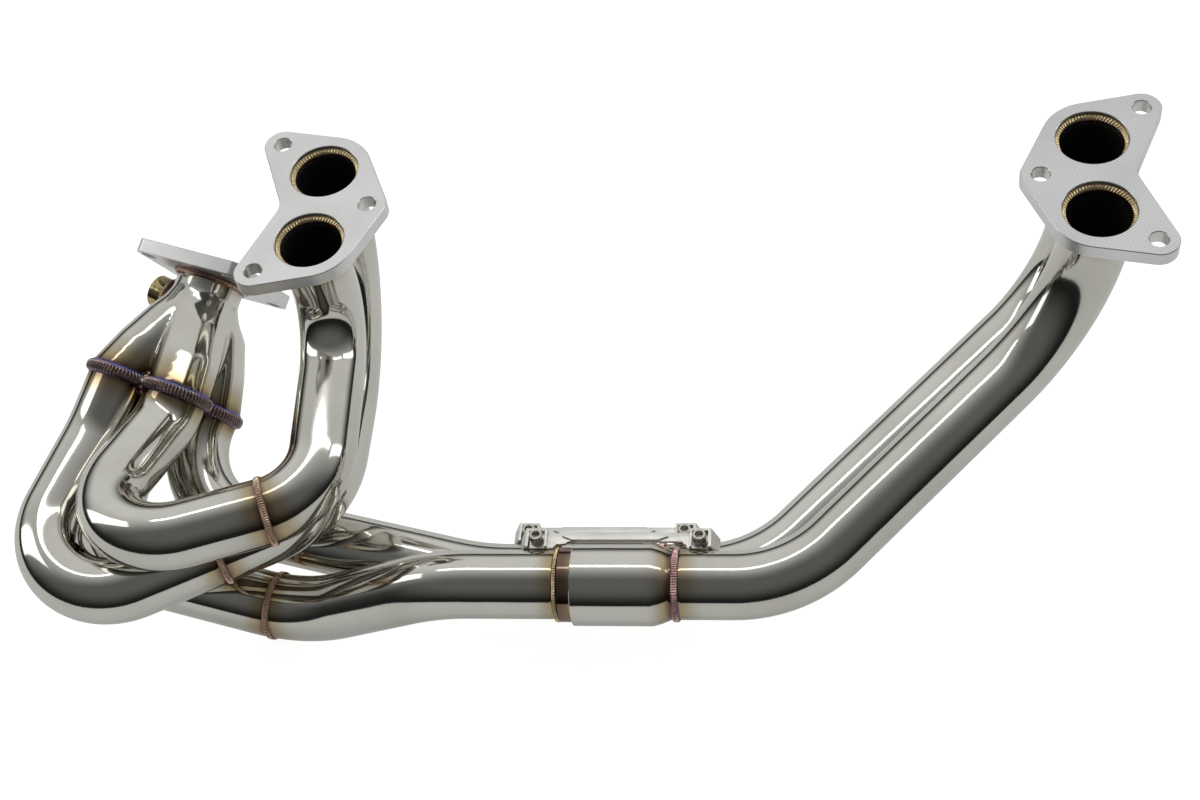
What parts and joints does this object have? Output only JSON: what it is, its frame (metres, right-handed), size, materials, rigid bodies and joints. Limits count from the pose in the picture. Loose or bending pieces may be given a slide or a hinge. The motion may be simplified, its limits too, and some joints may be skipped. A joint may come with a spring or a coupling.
{
  "type": "exhaust manifold",
  "caption": "Tubular exhaust manifold for a flat four engine: two head flanges, long bent runners with slip joints, a merge collector and a square outlet flange.",
  "frame": {"origin": "Centre of the left head flange's mating face, on the web between its two ports", "axes": "+Z out of both head faces, towards the cylinder heads; +X from the left bank to the right bank, along the crossover tubes; +Y away from the crossovers, towards the outlet"},
  "size_m": [0.7631, 0.3082, 0.2227],
  "materials": {
    "polished_tube": "mirror polished stainless steel, straw coloured beside the welds",
    "machined_flange": "fine milled stainless steel plate",
    "satin_bracket": "satin pressed stainless sheet",
    "weld_bead": "rippled weld bead with gold, brown and blue heat tint",
    "bung": "turned steel with gold heat tint",
    "screw": "plain machined socket screw"
  },
  "bodies": {
    "left_bank": {"collector_weld_band": "weld_bead", "front_crossover_butt_weld": "weld_bead", "front_crossover_return_tube": "polished_tube", "front_crossover_tube": "polished_tube", "front_left_lug": "satin_bracket", "front_left_screw": "screw", "front_slip_spigot": "polished_tube", "front_spigot_weld": "weld_bead", "front_tie_strap": "satin_bracket", "left_front_butt_weld": "weld_bead", "left_front_loop_tube": "polished_tube", "left_front_port_weld": "weld_bead", "left_front_upper_tube": "polished_tube", "left_head_flange": "machined_flange", "left_rear_butt_weld": "weld_bead", "left_rear_loop_tube": "polished_tube", "left_rear_port_weld": "weld_bead", "left_rear_upper_tube": "polished_tube", "merge_collector": "polished_tube", "outlet_flange": "machined_flange", "outlet_weld": "weld_bead", "rear_crossover_tube": "polished_tube", "rear_left_lug": "satin_bracket", "rear_left_screw": "screw", "rear_slip_spigot": "polished_tube", "rear_spigot_weld": "weld_bead", "rear_tie_strap": "satin_bracket", "sensor_bung": "bung", "sensor_bung_weld": "weld_bead"},
    "right_bank": {"front_right_lug": "satin_bracket", "front_right_screw": "screw", "front_sleeve_weld": "weld_bead", "front_slip_sleeve": "polished_tube", "rear_right_lug": "satin_bracket", "rear_right_screw": "screw", "rear_sleeve_weld": "weld_bead", "rear_slip_sleeve": "polished_tube", "right_front_port_weld": "weld_bead", "right_front_tube": "polished_tube", "right_head_flange": "machined_flange", "right_rear_port_weld": "weld_bead", "right_rear_tube": "polished_tube"}
  },
  "joints": [
    {"name": "slip_joint_slide", "type": "slide", "parent": "left_bank", "child": "right_bank", "axis": [1, 0, 0], "range_m": [-0.003, 0.003]}
  ]
}
